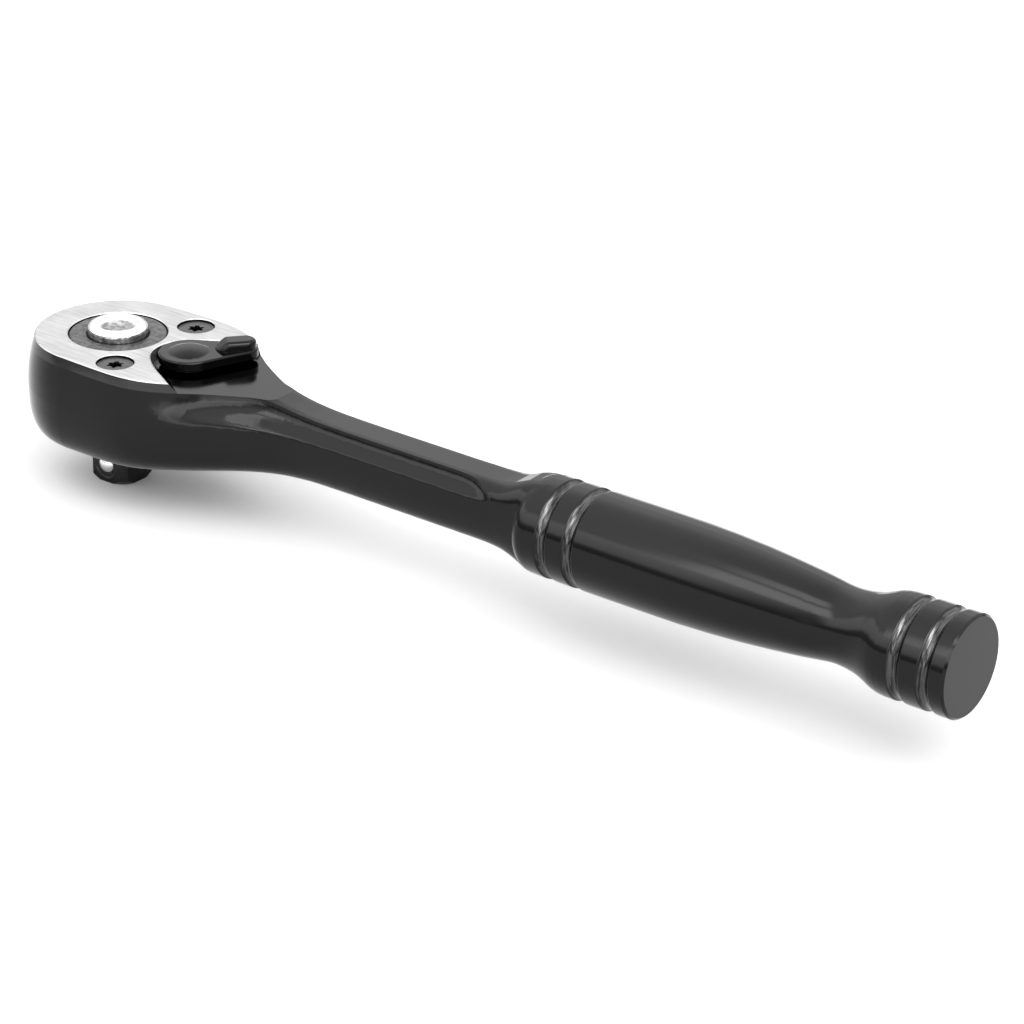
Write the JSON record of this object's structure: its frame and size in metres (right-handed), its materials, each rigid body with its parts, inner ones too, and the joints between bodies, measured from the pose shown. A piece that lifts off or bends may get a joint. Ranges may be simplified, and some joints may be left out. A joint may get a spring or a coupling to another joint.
{
  "type": "ratchet wrench",
  "caption": "Reversible quick-release ratchet wrench with a quarter-inch square drive, pear head and turned metal grip.",
  "frame": {"origin": "centre of the square drive's end face", "axes": "+X along the handle from the drive to the grip end, +Z from the drive to the cover plate"},
  "size_m": [0.143, 0.0242, 0.0226],
  "materials": {
    "black_chrome": "gloss",
    "brushed_plate": "brushed",
    "dark_screw": "satin",
    "phosphate_steel": "matte",
    "spring_steel": "satin",
    "nitrile": "matte",
    "polished_chrome": "gloss",
    "ball_steel": "gloss",
    "gloss_black": "gloss"
  },
  "bodies": {
    "handle": {"wrench_body": "black_chrome", "cover_plate": "brushed_plate", "cover_screws": "dark_screw", "thrust_washer": "spring_steel", "shaft_seal": "nitrile", "shaft_clip": "spring_steel"},
    "drive": {"drive_gear": "phosphate_steel", "lower_seal": "nitrile", "upper_seal": "nitrile", "release_spring": "spring_steel"},
    "button": {"release_button": "polished_chrome"},
    "ball": {"retaining_ball": "ball_steel"},
    "selector": {"reverse_lever": "gloss_black", "selector_shaft": "gloss_black", "pawl_spring": "spring_steel"},
    "plunger": {"pawl_plunger": "spring_steel"},
    "pawl": {"pawl": "phosphate_steel"}
  },
  "joints": [
    {"name": "drive_spin", "type": "hinge", "parent": "handle", "child": "drive", "pos_m": [0, 0, 0.0155], "axis": [0, 0, 1], "continuous": true},
    {"name": "button_press", "type": "slide", "parent": "drive", "child": "button", "axis": [0, 0, -1], "range_m": [0, 0.0011], "stiffness_N_per_m": 900, "springref_m": -0.0025, "deforming": ["release_spring"]},
    {"name": "ball_retract", "type": "slide", "parent": "drive", "child": "ball", "axis": [0, 1, 0], "range_m": [0, 0.00055]},
    {"name": "lever_turn", "type": "hinge", "parent": "handle", "child": "selector", "pos_m": [0.01254, 0, 0.0157], "axis": [0, 0, 1], "range_deg": [-100, 0]},
    {"name": "pawl_rock", "type": "hinge", "parent": "handle", "child": "pawl", "pos_m": [0.0096, 0, 0.0157], "axis": [0, 0, 1], "range_deg": [0, 18]},
    {"name": "plunger_slide", "type": "slide", "parent": "selector", "child": "plunger", "axis": [0.6428, 0.766, 0], "range_m": [0, 0.0003], "stiffness_N_per_m": 400, "springref_m": -0.001, "deforming": ["pawl_spring"]}
  ],
  "couplings": [
    {"joint": "ball_retract", "follows": "button_press", "ratio": 0.5},
    {"joint": "pawl_rock", "follows": "lever_turn", "ratio": -0.18}
  ]
}
